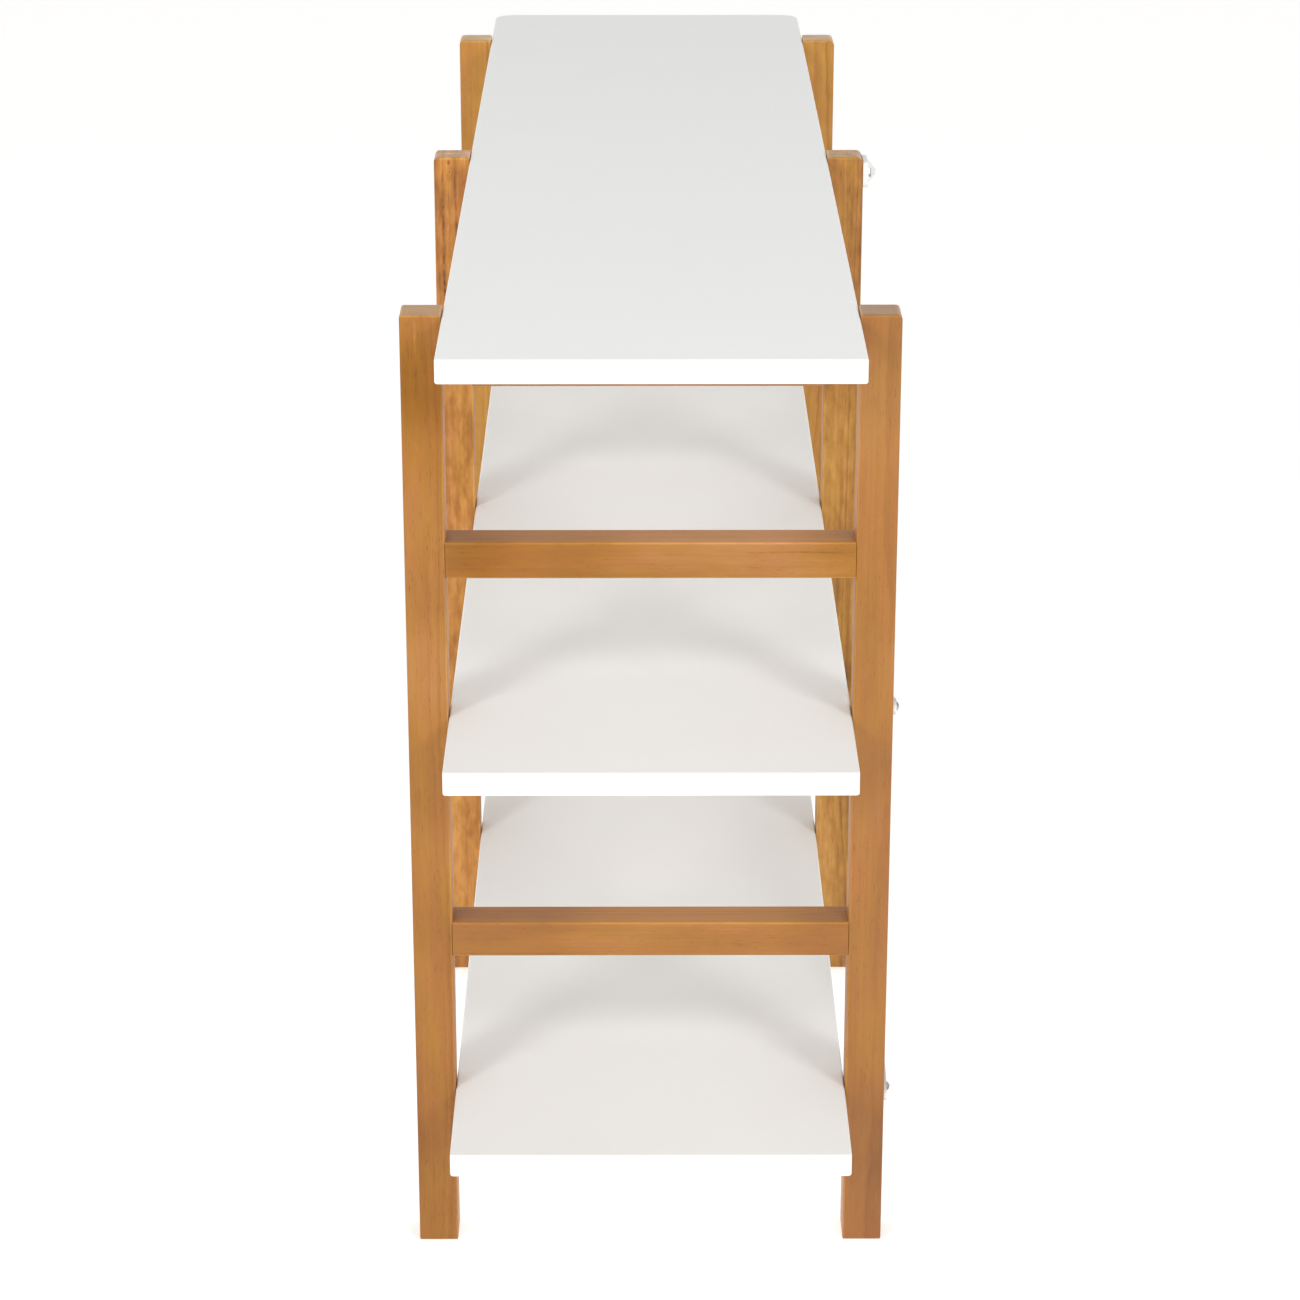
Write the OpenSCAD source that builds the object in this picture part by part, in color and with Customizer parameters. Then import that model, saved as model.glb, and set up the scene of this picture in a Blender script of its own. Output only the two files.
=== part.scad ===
// Open shelving unit: three ladder frames of square timber, with three long boards running
// through them between the posts. A crossed pair of flat steel bars stiffens the back, and a
// moulded anchor on the middle frame takes a strap to the wall.
//
// X runs along the boards, the front is towards -Y, and Z points up. The origin is on the floor
// at the middle of the whole unit's box, fittings at the back included.

/* [Overall] */
// Length of the boards
unit_l = 1200; // [1100:10:1400]
// Depth over the posts, front to back
unit_d = 360; // [320:5:420]
// Height of the posts
unit_h = 750; // [720:5:900]

/* [Frames] */
// Side of the square posts
post_w = 30; // [28:1:34]
// Distance between neighbouring frames, centre to centre
frame_pitch = 480; // [420:5:500]
// Height of a cross rail's section
rail_h = 28; // [24:1:30]
// Height of the upper rails' centre above the floor
upper_rail_z = 564; // [540:1:600]
// Height of the lower rails' centre above the floor
lower_rail_z = 259; // [230:1:300]
// Rounding along the timber's edges
timber_edge_r = 2; // [1:0.5:3]
// Mean rounding of the posts' tops on their outer sides, seen along the boards
post_top_r = 5; // [4:0.5:6]

/* [Boards] */
// Thickness of a board
board_t = 18; // [16:1:20]
// Gap between a board's long edge and a post
board_gap = 0.5; // [0.3:0.1:1.5]
// How far the top board lies below the posts' tops
top_board_drop = 1.5; // [0:0.5:6]
// Height from one board's face to the next
board_pitch = 308; // [300:1:315]
// Radius of the corners at a board's left end, seen from above
board_left_r = 18; // [3:1:20]
// Radius of the corners at a board's right end, seen from above
board_right_r = 2.5; // [2.5:0.5:20]
// Rounding of a board's edges
board_edge_r = 1.5; // [1:0.5:2]

/* [Back brace] */
// Width of the flat bars
bar_w = 12; // [10:1:14]
// Thickness of the flat bars
bar_t = 2.5; // [2:0.5:3]
// Height of the bars' upper end screws
brace_top_z = 443.5; // [440:0.5:460]
// Height of the bars' lower end screws
brace_bottom_z = 126.5; // [120:0.5:140]
// Distance from an end screw to the tip of the bar
bar_tip = 13; // [8:0.5:13]

/* [Wall anchor] */
// Width of the anchor's base plate
anchor_w = 28; // [26:1:28]
// Height of the base plate
anchor_h = 23; // [20:1:26]
// Thickness of the base plate
anchor_plate_t = 4.6; // [3.5:0.1:5]
// Rounding of the base plate's top and bottom edges
anchor_edge_r = 2.4; // [1:0.2:3]
// How far the anchor stands out from the post
anchor_reach = 11.2; // [10.6:0.2:14]
// Height of the anchor's centre above the floor
anchor_z = 735; // [715:1:736]
// Width of the strap's slot
strap_slot = 2.4; // [2:0.1:2.6]
// Height of the strap's slot
strap_h = 7.5; // [6:0.5:8]

/* [Shelf brackets] */
// Length of each leg of an angle bracket
bracket_leg = 24; // [22:1:28]
// Width of an angle bracket
bracket_w = 20; // [16:1:22]
// Thickness of an angle bracket
bracket_t = 2; // [1.5:0.5:2.5]
// Distance from the bracket's corner to each of its screws
bracket_screw_at = 14; // [12:0.5:15]

/* [Dowels] */
// Diameter of the dowels between rails and posts
dowel_d = 8; // [6:1:8]
// Length of a dowel
dowel_l = 38; // [30:1:38]
// Distance between the two dowels of a joint
dowel_spacing = 15; // [12:1:16]

/* [Hidden] */
$fn = 48;
cut = 1;
FRAMES = ["left", "middle", "right"];
LEVELS = ["top", "middle", "bottom"];
ROWS = ["front", "rear"];

// Places along X of the frames, and heights of the boards' faces
frame_x = [-frame_pitch, 0, frame_pitch];
board_z = [for (i = [0:2]) unit_h - top_board_drop - i * board_pitch];

// The anchor stands out behind the posts, so the frames sit a little forward of the origin
frames_y = -anchor_reach / 2;
row_side = [-1, 1];
post_y = [for (s = row_side) frames_y + s * (unit_d - post_w) / 2];
inner_y = [for (s = row_side) frames_y + s * (unit_d / 2 - post_w)];
back_y = frames_y + unit_d / 2;
rail_l = unit_d - 2 * post_w;
board_w = rail_l - 2 * board_gap;

// Hand sanding: how far each post's top rounding is off the mean, front row and then rear row
sanding = [[-0.5, -1, -2.5], [0.5, 1, -1]];

// Fits: round the dowels, and round the screws in the timber and in the steel
dowel_slack = 0.05;
dowel_end_gap = 1;
pilot_slack = 0.05;
steel_slack = 0.25;
tip_gap = 1;

// Screws: diameter, length under the head, head diameter and head height
BRACKET_SCREW = [4, 16, 7.6, 2.4];
BRACE_SCREW = [4, 22, 7, 2.8];
ANCHOR_SCREW = [3.5, 25, 7, 1.8];
function diameter(screw) = screw[0];
function length(screw) = screw[1];
function head_diameter(screw) = screw[2];
function head_height(screw) = screw[3];

// A screw's tip: its length and its width, as shares of the diameter
tip_l = 1;
tip_w = 0.25;

// A head's upright rim and its cross recess, as shares of the head, and the recess's width
head_rim = 0.35;
recess_w = 1;
recess_l = 0.55;
recess_depth = 0.55;

// The brace: half its span, its angle, and the crank that lifts one bar over the other
brace_rise = brace_top_z - brace_bottom_z;
brace_angle = atan(brace_rise / (2 * frame_pitch));
brace_mid_z = (brace_top_z + brace_bottom_z) / 2;
bar_half = frame_pitch / cos(brace_angle);
bar_l = 2 * (bar_half + bar_tip);
crank_flat = 20;
crank_run = 9;

// The anchor's ridge: half its height at the plate, the radius of its crest, and its width
ridge_half = anchor_h / 2 - anchor_edge_r;
crest_r = 3;
ridge_w = 9;

// The anchor's screws lie halfway between its ridge and its sides
anchor_screw_x = (anchor_w + ridge_w) / 4;
anchor_corner_r = 4;
anchor_side_r = 1.5;

bracket_corner_r = 4;
bracket_bend_r = 2.5;

// A rectangle with rounded corners, centred
module rounded_rect(w, h, r) {
    square([w - 2 * r, h], center = true);
    square([w, h - 2 * r], center = true);
    for (x = [-1, 1], y = [-1, 1])
        translate([x * (w / 2 - r), y * (h / 2 - r)])
            circle(r);
}

// A slot with round ends, centred, lying along X
module round_ended(l, w) {
    square([l - w, w], center = true);
    for (x = [-1, 1])
        translate([x * (l - w) / 2, 0])
            circle(w / 2);
}

// Turns what is drawn on the floor to stand upright with its thickness along +Y
module upright() {
    rotate([90, 0, 0])
        mirror([0, 0, 1])
            children();
}

// Turns a tool that points up, such as a drill or a screw, to point along +Y or -Y
module along_y(side) {
    rotate([-side * 90, 0, 0])
        children();
}

// Timber

// A post's upright outline, its foot on y = 0, with the given rounding at its top right corner
module post_outline(top_r) {
    r = timber_edge_r;
    half_w = post_w / 2;
    translate([-half_w, r])
        square([half_w, unit_h - 2 * r]);
    translate([0, r])
        square([half_w, unit_h - r - top_r]);
    translate([r - half_w, 0])
        square([post_w - 2 * r, r]);
    translate([r - half_w, unit_h - r])
        square([half_w - r, r]);
    translate([0, unit_h - top_r])
        square([half_w - top_r, top_r]);
    for (corner = [[-1, r, r], [1, r, r], [-1, unit_h - r, r], [1, unit_h - top_r, top_r]])
        translate([corner[0] * (half_w - corner[2]), corner[1]])
            circle(corner[2]);
}

// A post's block, rounded on every edge: its section cut by the outlines seen along Y and along X.
// Its outer side, with the larger rounding at the top, is towards +Y.
module post_block(top_r) {
    intersection() {
        linear_extrude(unit_h)
            rounded_rect(post_w, post_w, timber_edge_r);
        translate([0, -post_w, 0])
            upright()
                linear_extrude(2 * post_w)
                    post_outline(timber_edge_r);
        rotate([0, 0, 90])
            translate([0, -post_w, 0])
                upright()
                    linear_extrude(2 * post_w)
                        post_outline(top_r);
    }
}

// The two dowels of one joint, or their holes, centred on the joint's face and lying along Y
module dowel_pair(l, slack) {
    for (x = [-1, 1])
        translate([x * dowel_spacing / 2, -l / 2, 0])
            along_y(1)
                cylinder(h = l, r = dowel_d / 2 + slack);
}

// One post of frame f in row r, drilled for its dowels and screws
module post(r, f) {
    color("burlywood")
        difference() {
            translate([frame_x[f], post_y[r], 0])
                mirror([0, r == 0 ? 1 : 0, 0])
                    post_block(post_top_r + sanding[r][f]);
            for (z = [upper_rail_z, lower_rail_z])
                translate([frame_x[f], inner_y[r], z])
                    dowel_pair(dowel_l + 2 * dowel_end_gap, dowel_slack);
            for (z = board_z)
                translate([frame_x[f], inner_y[r], z - board_t - bracket_screw_at])
                    along_y(row_side[r])
                        pilot_hole(BRACKET_SCREW, bracket_t);
            if (r == 1 && f == 1) {
                translate([0, back_y, brace_mid_z])
                    along_y(-1)
                        pilot_hole(BRACE_SCREW, 2 * bar_t);
                for (x = [-1, 1])
                    translate([x * anchor_screw_x, back_y, anchor_z])
                        along_y(-1)
                            pilot_hole(ANCHOR_SCREW, anchor_plate_t);
            }
            if (r == 1 && f != 1)
                for (z = [brace_top_z, brace_bottom_z])
                    translate([frame_x[f], back_y, z])
                        along_y(-1)
                            pilot_hole(BRACE_SCREW, bar_t);
        }
}

// A cross rail of frame f between its two posts
module rail(f, z) {
    color("burlywood")
        difference() {
            translate([frame_x[f], frames_y - rail_l / 2, z])
                upright()
                    linear_extrude(rail_l)
                        rounded_rect(post_w, rail_h, timber_edge_r);
            for (y = inner_y)
                translate([frame_x[f], y, z])
                    dowel_pair(dowel_l + 2 * dowel_end_gap, dowel_slack);
        }
}

// The eight dowels of frame f
module rail_dowels(f) {
    color("wheat")
        for (z = [upper_rail_z, lower_rail_z], y = inner_y)
            translate([frame_x[f], y, z])
                dowel_pair(dowel_l, 0);
}

// Boards

// A straight edge of a board, from the board's middle out to its rounded edge, along X
module board_side(l, reach) {
    r = board_edge_r;
    translate([-l / 2, 0, 0])
        rotate([90, 0, 90])
            linear_extrude(l) {
                square([reach - r, board_t]);
                translate([0, r])
                    square([reach, board_t - 2 * r]);
                for (z = [r, board_t - r])
                    translate([reach - r, z])
                        circle(r);
            }
}

// A corner of a board: a quarter turn of the same edge
module board_corner(corner_r) {
    r = board_edge_r;
    rotate_extrude(angle = 90) {
        square([corner_r - r, board_t]);
        translate([0, r])
            square([corner_r, board_t - 2 * r]);
        for (z = [r, board_t - r])
            translate([corner_r - r, z])
                circle(r);
    }
}

// Half of a board, from its middle to its end at +X, its lower face on z = 0
module board_half(corner_r) {
    side_l = unit_l / 2 - corner_r;
    end_l = board_w - 2 * corner_r;
    translate([0, -end_l / 2, 0])
        cube([side_l, end_l, board_t]);
    translate([side_l, 0, 0])
        rotate([0, 0, -90])
            board_side(end_l, corner_r);
    translate([side_l / 2, end_l / 2, 0])
        board_side(side_l, corner_r);
    translate([side_l / 2, -end_l / 2, 0])
        rotate([0, 0, 180])
            board_side(side_l, corner_r);
    translate([side_l, end_l / 2, 0])
        board_corner(corner_r);
    translate([side_l, -end_l / 2, 0])
        rotate([0, 0, -90])
            board_corner(corner_r);
}

// A whole board, its lower face on z = 0
module board_blank() {
    board_half(board_right_r);
    rotate([0, 0, 180])
        board_half(board_left_r);
}

// The board of level n, drilled from below for its brackets' screws
module board(n) {
    under_z = board_z[n] - board_t;
    color("white")
        difference() {
            translate([0, frames_y, under_z])
                board_blank();
            for (x = frame_x, r = [0, 1])
                translate([x, inner_y[r] - row_side[r] * bracket_screw_at, under_z])
                    pilot_hole(BRACKET_SCREW, bracket_t);
        }
}

// Screws

// The pilot hole of a screw whose head stands off the timber by what it clamps
module pilot_hole(screw, clamped) {
    depth = length(screw) - clamped + tip_gap;
    translate([0, 0, -cut])
        cylinder(h = depth + cut, r = diameter(screw) / 2 + pilot_slack);
}

// The shank under a screw's head, pointing up, with a short tapered tip
module shank(screw) {
    d = diameter(screw);
    straight_l = length(screw) - tip_l * d;
    cylinder(h = straight_l, r = d / 2);
    translate([0, 0, straight_l])
        cylinder(h = tip_l * d, r1 = d / 2, r2 = tip_w * d / 2);
}

// A cross recess, opening downwards at z = 0
module cross_recess(screw) {
    l = head_diameter(screw) * recess_l;
    depth = head_height(screw) * recess_depth;
    for (turn = [0, 90])
        rotate([0, 0, turn])
            translate([-l / 2, -recess_w / 2, -cut])
                cube([l, recess_w, depth + cut]);
}

// A screw with a domed head, pointing up, the head's flat seat on z = 0
module pan_screw(screw) {
    h = head_height(screw);
    r = head_diameter(screw) / 2;
    rise = h * (1 - head_rim);
    dome_r = (pow(r, 2) + pow(rise, 2)) / (2 * rise);
    difference() {
        union() {
            intersection() {
                translate([0, 0, -h])
                    cylinder(h = h, r = r);
                translate([0, 0, dome_r - h])
                    sphere(dome_r);
            }
            shank(screw);
        }
        translate([0, 0, -h])
            cross_recess(screw);
    }
}

// A screw with a countersunk head, pointing up, the head's face flush with z = 0
module flat_screw(screw) {
    difference() {
        union() {
            cylinder(h = head_height(screw), r1 = head_diameter(screw) / 2, r2 = diameter(screw) / 2);
            shank(screw);
        }
        cross_recess(screw);
    }
}

// Shelf brackets

// An angle bracket under a board: one leg on the post's inner face, which lies on the XZ plane
// and faces -Y, the other leg against the board's lower face, on the XY plane
module bracket() {
    color("whitesmoke")
        difference() {
            intersection() {
                translate([-bracket_w / 2, 0, 0])
                    rotate([90, 0, 90])
                        linear_extrude(bracket_w)
                            bracket_section();
                union() {
                    translate([0, -bracket_leg, -bracket_leg / 2])
                        upright()
                            linear_extrude(bracket_leg)
                                rounded_leg();
                    translate([0, -bracket_leg / 2, -bracket_leg])
                        mirror([0, 1, 0])
                            linear_extrude(bracket_leg)
                                mirror([0, 1])
                                    rounded_leg();
                }
            }
            translate([0, -bracket_leg, -bracket_screw_at])
                along_y(1)
                    cylinder(h = bracket_leg + cut, r = diameter(BRACKET_SCREW) / 2 + steel_slack);
            translate([0, -bracket_screw_at, -bracket_leg])
                cylinder(h = bracket_leg + cut, r = diameter(BRACKET_SCREW) / 2 + steel_slack);
        }
}

// The bent strip's section, with its corner at the origin and its legs along -X and -Y
module bracket_section() {
    t = bracket_t;
    b = bracket_bend_r;
    difference() {
        union() {
            translate([-bracket_leg, -t])
                square([bracket_leg - b, t]);
            translate([-t, -bracket_leg])
                square([t, bracket_leg - b]);
            translate([-b, -b])
                circle(b);
            translate([-b - t, -t])
                square([t, t]);
            translate([-t, -b - t])
                square([t, t]);
        }
        translate([-bracket_leg, -bracket_leg])
            square([bracket_leg - t, bracket_leg - t]);
    }
}

// A leg's outline: square at the bend, rounded at its free end, which is towards -Y
module rounded_leg() {
    rounded_rect(bracket_w, bracket_leg, bracket_corner_r);
    translate([-bracket_w / 2, 0])
        square([bracket_w, bracket_leg / 2]);
}

// The six places of level n's brackets
module at_brackets(n) {
    for (x = frame_x, r = [0, 1])
        translate([x, inner_y[r], board_z[n] - board_t])
            mirror([0, r == 0 ? 1 : 0, 0])
                children();
}

module brackets(n) {
    at_brackets(n)
        bracket();
}

module bracket_screws(n) {
    color("silver")
        at_brackets(n) {
            translate([0, -bracket_t, -bracket_screw_at])
                along_y(1)
                    pan_screw(BRACKET_SCREW);
            translate([0, -bracket_screw_at, -bracket_t])
                pan_screw(BRACKET_SCREW);
        }
}

// Back brace

// A bar's outline with its three screw holes, centred, lying along X
module bar_outline() {
    difference() {
        round_ended(bar_l, bar_w);
        for (x = [-bar_half, 0, bar_half])
            translate([x, 0])
                circle(diameter(BRACE_SCREW) / 2 + steel_slack);
    }
}

// A bar's place on the back of the frames, falling towards the left or the right
module on_back(fall) {
    translate([0, back_y, brace_mid_z])
        rotate([0, fall * brace_angle, 0])
            upright()
                children();
}

// The bar that lies flat on all three posts
module brace_bar_straight() {
    color("white")
        on_back(-1)
            linear_extrude(bar_t)
                bar_outline();
}

// The bar that is cranked outwards where it passes over the straight one
module brace_bar_cranked() {
    top = [
        [-bar_l / 2, 0], [-crank_flat - crank_run, 0], [-crank_flat, bar_t],
        [crank_flat, bar_t], [crank_flat + crank_run, 0], [bar_l / 2, 0]
    ];
    back = [for (i = [len(top) - 1:-1:0]) top[i] + [0, bar_t]];
    color("white")
        on_back(1)
            intersection() {
                linear_extrude(2 * bar_t)
                    bar_outline();
                translate([0, bar_w / 2, 0])
                    rotate([90, 0, 0])
                        linear_extrude(bar_w)
                            polygon(concat(top, back));
            }
}

// The brace's five screws: four at the bars' ends and one through the crossing
module brace_screws() {
    color("silver") {
        for (x = [-frame_pitch, frame_pitch], z = [brace_top_z, brace_bottom_z])
            translate([x, back_y + bar_t, z])
                along_y(-1)
                    pan_screw(BRACE_SCREW);
        translate([0, back_y + 2 * bar_t, brace_mid_z])
            along_y(-1)
                pan_screw(BRACE_SCREW);
    }
}

// Wall anchor

// The ridge's section, rising along +X from the plate's face at x = 0: flanks that run tangent
// to a round crest, with the strap's slot through its foot
module ridge_section() {
    rise = anchor_reach - anchor_plate_t;
    crest_x = rise - crest_r;
    foot_angle = atan2(ridge_half, -crest_x);
    to_foot = sqrt(pow(ridge_half, 2) + pow(crest_x, 2));
    touch_angle = foot_angle - acos(crest_r / to_foot);
    touch = [crest_x + crest_r * cos(touch_angle), crest_r * sin(touch_angle)];
    difference() {
        union() {
            polygon([[0, -ridge_half], [touch[0], -touch[1]], touch, [0, ridge_half]]);
            translate([crest_x, 0])
                circle(crest_r);
        }
        translate([-cut, -strap_h / 2])
            square([cut + strap_slot, strap_h]);
        translate([-rise, -unit_h])
            square([rise, 2 * unit_h]);
    }
}

// The base plate's section, w wide along Y, rising along +X to rounded outer corners
module plate_section(w, r) {
    t = anchor_plate_t;
    translate([0, -w / 2])
        square([t - r, w]);
    translate([0, r - w / 2])
        square([t, w - 2 * r]);
    for (side = [-1, 1])
        translate([t - r, side * (w / 2 - r)])
            circle(r);
}

// The base plate, its back on the XZ plane and its outer edges rounded
module anchor_plate() {
    intersection() {
        upright()
            linear_extrude(anchor_plate_t)
                rounded_rect(anchor_w, anchor_h, anchor_corner_r);
        translate([-anchor_w / 2, 0, 0])
            rotate([90, 0, 90])
                linear_extrude(anchor_w)
                    plate_section(anchor_h, anchor_edge_r);
        translate([0, 0, -anchor_h / 2])
            rotate([0, 0, 90])
                linear_extrude(anchor_h)
                    plate_section(anchor_w, anchor_side_r);
    }
}

module wall_anchor() {
    color("white")
        translate([0, back_y, anchor_z]) {
            difference() {
                anchor_plate();
                for (x = [-1, 1])
                    translate([x * anchor_screw_x, anchor_plate_t, 0])
                        along_y(-1)
                            anchor_hole();
            }
            translate([-ridge_w / 2, anchor_plate_t, 0])
                rotate([90, 0, 90])
                    linear_extrude(ridge_w)
                        ridge_section();
        }
}

// A countersunk hole that follows the screw's head and shank with a little slack
module anchor_hole() {
    r = diameter(ANCHOR_SCREW) / 2 + steel_slack;
    head_r = head_diameter(ANCHOR_SCREW) / 2 + steel_slack;
    translate([0, 0, -cut])
        cylinder(h = anchor_plate_t + 2 * cut, r = r);
    cylinder(h = head_height(ANCHOR_SCREW), r1 = head_r, r2 = r);
    translate([0, 0, -cut])
        cylinder(h = cut, r = head_r);
}

module wall_anchor_screws() {
    color("silver")
        for (x = [-1, 1])
            translate([x * anchor_screw_x, back_y + anchor_plate_t, anchor_z])
                along_y(-1)
                    flat_screw(ANCHOR_SCREW);
}

for (r = [0, 1], f = [0:2])
    post(r, f);
for (f = [0:2]) {
    rail(f, upper_rail_z);
    rail(f, lower_rail_z);
    rail_dowels(f);
}
for (n = [0:2]) {
    board(n);
    brackets(n);
    bracket_screws(n);
}
brace_bar_straight();
brace_bar_cranked();
brace_screws();
wall_anchor();
wall_anchor_screws();
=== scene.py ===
import math

import bmesh
import bpy
from mathutils import Matrix, Vector


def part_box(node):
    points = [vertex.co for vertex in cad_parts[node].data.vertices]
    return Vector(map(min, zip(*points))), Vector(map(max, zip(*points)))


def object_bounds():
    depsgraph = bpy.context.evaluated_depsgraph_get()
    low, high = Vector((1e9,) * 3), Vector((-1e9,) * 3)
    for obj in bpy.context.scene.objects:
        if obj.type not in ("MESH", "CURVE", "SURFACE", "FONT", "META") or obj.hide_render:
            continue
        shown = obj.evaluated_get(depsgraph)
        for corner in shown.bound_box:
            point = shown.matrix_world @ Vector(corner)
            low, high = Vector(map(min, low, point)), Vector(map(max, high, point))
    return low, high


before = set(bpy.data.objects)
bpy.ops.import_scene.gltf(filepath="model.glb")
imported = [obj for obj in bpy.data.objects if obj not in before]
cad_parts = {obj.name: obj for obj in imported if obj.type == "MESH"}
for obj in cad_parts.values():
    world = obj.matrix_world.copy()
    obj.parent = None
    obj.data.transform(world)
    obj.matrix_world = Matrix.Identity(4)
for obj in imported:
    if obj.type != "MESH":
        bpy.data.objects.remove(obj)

cad_low, cad_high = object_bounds()

# Lengths are in metres. The boards lie along X, the unit's front faces -Y and Z is up. The
# photograph was taken from the +X end.

# Camera: where the photograph was taken from, with its angles in degrees and its lens and sensor in
# millimetres. The photograph's upright lines run parallel, so its own lens was shifted far down.
# Here the camera looks down instead.
CAMERA_PLACE = (3.012, -0.0157, 1.4678)
CAMERA_PITCH = 19.52
CAMERA_YAW = 0.141
CAMERA_LENS = 101.4
CAMERA_SHIFT = (0.0036, -0.08)
SENSOR_WIDTH = 36

# Light: one softbox on each side of the camera, a metre above it, about where the shadows on the
# photographed boards place the lamps
SOFTBOX_SIDES = (-1, 1)
SOFTBOX_PLACE = (3.1, 2.05, 2.45)
SOFTBOX_SIZE = (0.9, 1.2)
SOFTBOX_POWER = 40.2

# An even white surround, brightest at the horizon and dimmer above it. It is brighter still low
# down behind the unit, as the photograph sees it, and low down on the camera's side. A turn says
# between which directions the light changes.
SURROUND_COLOUR = (1.0, 0.997, 0.990)
SURROUND_LOW = 1.02
SURROUND_HIGH = 0.545
SURROUND_TURN = (0, 0.6)
BACKDROP_LIFT = 0.55
BACKDROP_TURN = (-0.9, -0.3)
CAMERA_SIDE_LIFT = 0.38
CAMERA_SIDE_TURN = (0.3, 0.9)
LIFT_TURN = (0.3, 0.6)

# White paper on the floor, which glows a little as overlit paper does. The glow is strongest round
# the unit and behind it. It falls off between two distances to the sides and towards the camera,
# so that the white boards stand out better from the floor in the other views.
FLOOR_REACH = 60
FLOOR_COLOUR = (0.90, 0.897, 0.890, 1)
FLOOR_GLOSS = 0.1
FLOOR_GRAIN = ((40, 40, 40), 2.0)
FLOOR_ROUGHNESS = (0.85, 0.95)
FLOOR_GLOW = 0.42
FLOOR_GLOW_ASIDE = 0.22
SWEEP_SIDE = (1.7, 4.5)
SWEEP_CAMERA_SIDE = (1.0, 3.6)

WHITE = (1, 1, 1, 1)

# The part of its range that a noise nearly always stays in
NOISE_SPAN = (0.2, 0.8)

# Colours of the stained timber, from the palest early wood to the pores, where they lie on the scale
# of shade, and the two tints that the stain drifts between
TIMBER_PALE = (0.560, 0.266, 0.064, 1)
TIMBER_MID = (0.385, 0.152, 0.020, 1)
TIMBER_DARK = (0.215, 0.072, 0.008, 1)
TIMBER_PORE = (0.070, 0.022, 0.003, 1)
TIMBER_STOPS = ((0.0, TIMBER_PALE), (0.42, TIMBER_MID), (0.80, TIMBER_DARK), (1.0, TIMBER_PORE))
YELLOWER = (0.99, 1.045, 0.82, 1)
REDDER = (1.01, 0.965, 1.15, 1)
TINT_STOPS = ((0.32, YELLOWER), (0.68, REDDER))

# What the timber's colour is multiplied by: on rubbed edges, where it is partly a painted highlight;
# on sawn ends, where it is partly a painted reflection of the sky; where the stain lies deep; and in
# the pores
RUBBED_AND_GLINT = (1.50, 1.70, 2.20, 1)
END_GRAIN_AND_REFLECTION = (0.99, 1.15, 1.60, 1)
DEEP_STAIN = (1.0, 0.94, 0.17, 1)
PORE_SHADE = (0.62, 0.54, 0.50, 1)

# The satin varnish. Two of the near pieces mirror less than the rest.
SHEEN = 0.35
SHEEN_ROUGHNESS = 0.25
SHEEN_TINT = (1.0, 0.55, 0.35, 1)
GLOSS = 0.55
GLOSS_LOW = 0.30
LOW_GLOSS_PIECES = ("post_front_right", "rail_upper_right")

# The varnish lies thinner on the fibres and sinks into the pores: what each adds to the roughness
# and to the height of the surface, and how deep that relief is
VARNISH_ROUGHNESS = 0.34
FIBRE_ROUGHNESS = 0.16
PORE_ROUGHNESS = 0.12
PATCH_ROUGHNESS = 0.10
FIBRE_HEIGHT = 0.55
PORE_HEIGHT = -0.9
RING_HEIGHT = 0.25
GRAIN_DEPTH = 0.00007

# Noises in the timber: turns per metre, along the grain in the last place, then detail and roughness
SWAY = ((7, 7, 1.7), 1.0, 0.5)
RIPPLE = ((90, 90, 30), 2.0, 0.5)
BANDS = ((110, 1, 110), 2.0, 0.5)
FIBRE = ((1500, 1500, 24), 3.0, 0.6)
STREAK = ((380, 380, 5), 3.0, 0.6)
PATCH = ((34, 34, 9), 2.0, 0.5)
CLOUD = ((11, 11, 5), 1.0, 0.5)
MOTTLE = ((170, 170, 60), 2.0, 0.5)
HUE = ((70, 70, 12), 2.0, 0.5)
DOTS = ((2300, 2300, 130), 1.0, 0.5)
# The next noise breaks up the rubbed edges and their painted highlight
EDGE_BREAKUP = ((300, 300, 60), 2.0, 0.5)
BEADS = ((200, 200, 130), 2.0, 0.5)
STREAK_DRIFT = ((30, 30, 22), 2.0, 0.5)
TONE_DRIFT = ((60, 60, 9), 2.0, 0.5)

# How far each seed moves a piece in the noises, and in the two that the year rings draw from
SEED_STEP = (0.37, 0.53, 0.71)
UNEVEN_SEED_STEP = 7.3
RING_SEED_STEP = 17.0

# How much each thing darkens the timber: in every piece, and times the piece's figure
SHADES = {
    "late": (0, 0.30),
    "bands": (0, 0.55),
    "streak": (0.08, 0.30),
    "fibre": (0.10, 0.06),
    "patch": (0.34, 0),
    "cloud": (0.42, 0),
    "mottle": (0, 0.30),
    "whole": (0.40, -0.07),
}

# Year rings: how dark one is across its width, from the spring to the end of the summer, how far the
# rings sway and ripple, how uneven their widths are, how strong or faint single rings are, and how
# much the bands change along the grain
LATE_WOOD = ((0.0, 0.05), (0.35, 0.10), (0.62, 0.42), (0.80, 1.0), (0.91, 0.85), (1.0, 0.05))
SWAY_REACH = 0.030
RIPPLE_REACH = 0.0022
UNEVEN_TURNS = 140
UNEVEN_REACH = 1.5
RING_STRENGTH = (0.15, 0.95, 0.15, 1.0)
BANDS_ALONG = 0.03

# Pores: the noise above which one shows, how much sooner it does with more figure, and how many
# fewer there are between the crowded patches
PORE_START = 0.675
PORE_FIGURE = 0.02
PORE_END = 0.75
PORE_CROWD = (0.3, 0.7, 0.035, 0.0)

# Knots, in knot sizes: how drawn out along the grain the bend of the rings round one is, how far
# it reaches and how large it is, how drawn out the heart is, between which distances the heart
# and the halo fade, and how much paler the halo is
BEND_LENGTH = 1.6
BEND_REACH = 3.5
BEND_LIFT = 1.3
HEART_LENGTH = 1.5
HEART = (0.25, 0.9)
HALO = (0.9, 2.6)
HALO_SHADE = -0.16

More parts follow.
